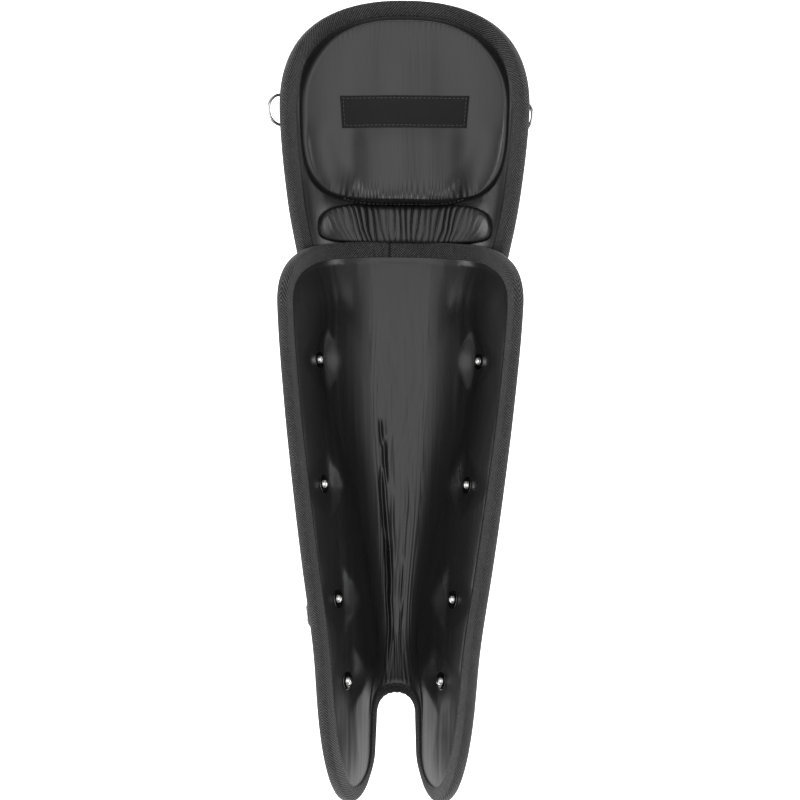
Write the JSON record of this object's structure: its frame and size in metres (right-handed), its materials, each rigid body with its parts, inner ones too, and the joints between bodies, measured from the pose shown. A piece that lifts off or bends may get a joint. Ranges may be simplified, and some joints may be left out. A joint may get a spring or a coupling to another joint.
{
  "type": "leg guard",
  "caption": "Umpire leg guard: padded vinyl shin trough with bound edges and an ankle notch, a cushioned knee panel, hard outer shells and wire strap rings.",
  "frame": {"origin": "on the floor under the middle of the part's box, the guard lying on its shells with the leg side up", "axes": "+Y up the leg towards the knee, +Z out of the leg side, +X to the right as seen from the leg side with the knee at the top"},
  "size_m": [0.1872, 0.563, 0.0914],
  "materials": {
    "vinyl": "satin black vinyl",
    "tape": "black herringbone tape",
    "shell": "black moulded plastic",
    "nickel": "bright nickel plate",
    "patch": "black woven patch"
  },
  "bodies": {
    "root": {"shin_pad": "vinyl", "shin_binding": "tape", "shin_shell": "shell", "shin_rivet_left_1": "nickel", "shin_rivet_left_2": "nickel", "shin_rivet_left_3": "nickel", "shin_rivet_left_4": "nickel", "shin_rivet_right_1": "nickel", "shin_rivet_right_2": "nickel", "shin_rivet_right_3": "nickel", "shin_rivet_right_4": "nickel", "knee_panel": "vinyl", "knee_binding": "tape", "knee_shell": "shell", "knee_cushion": "vinyl", "knee_roll": "vinyl", "knee_patch": "patch", "ring_knee_left": "nickel", "tab_knee_left": "tape", "ring_knee_right": "nickel", "tab_knee_right": "tape", "ring_shin_left": "nickel", "tab_shin_left": "tape"}
  },
  "joints": []
}
